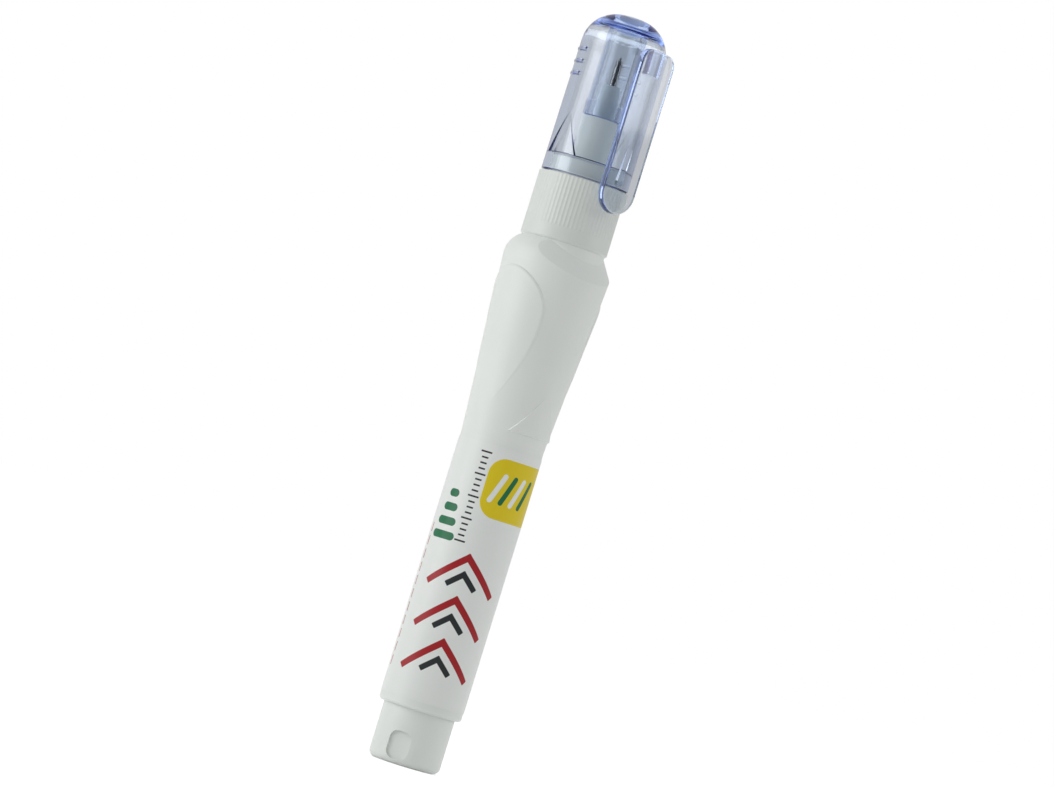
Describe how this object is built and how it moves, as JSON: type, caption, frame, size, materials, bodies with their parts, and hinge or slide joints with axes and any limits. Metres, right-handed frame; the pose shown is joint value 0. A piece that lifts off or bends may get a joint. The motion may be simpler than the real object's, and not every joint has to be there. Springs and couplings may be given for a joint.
{
  "type": "correction pen",
  "caption": "Squeeze correction pen with a flared grip, ribbed collar, sprung metal valve tip, clear pull-off cap with a pocket clip, loose mixing ball and a stepped rear plug.",
  "frame": {"origin": "centre of the rear plug's flat end face", "axes": "+Z along the pen towards the tip, -Y towards the pocket clip, +X completes the right-handed frame"},
  "size_m": [0.0196, 0.0195, 0.136],
  "materials": {
    "clear_cap": "clear blue-tinted polystyrene from a polished mould",
    "white_nozzle": "white polypropylene, satin moulded",
    "white_bottle": "white polyethylene, satin moulded",
    "white_plug": "white polyethylene, satin moulded",
    "label_film": "white polypropylene film with a printed pattern",
    "needle_steel": "drawn stainless steel tube",
    "pin_steel": "drawn stainless steel wire",
    "carrier_resin": "natural acetal, moulded",
    "spring_steel": "stainless spring wire",
    "ball_steel": "ground steel ball"
  },
  "bodies": {
    "pen": {"bottle": "white_bottle", "nozzle": "white_nozzle", "needle_tube": "needle_steel", "spring_seat": "carrier_resin", "valve_spring": "spring_steel", "rear_plug": "white_plug", "wrap_label": "label_film"},
    "cap": {"cap": "clear_cap"},
    "valve": {"valve_pin": "pin_steel", "pin_carrier": "carrier_resin"},
    "ball": {"agitator_ball": "ball_steel"}
  },
  "joints": [
    {"name": "cap_pull", "type": "slide", "parent": "pen", "child": "cap", "axis": [0, 0, 1], "range_m": [0, 0.035]},
    {"name": "valve_press", "type": "slide", "parent": "pen", "child": "valve", "axis": [0, 0, -1], "range_m": [0, 0.0004], "stiffness_N_per_m": 500, "springref_m": -0.0008, "deforming": ["valve_spring"]},
    {"name": "ball_shake", "type": "slide", "parent": "pen", "child": "ball", "axis": [0, 0, 1], "range_m": [0, 0.0915]}
  ]
}
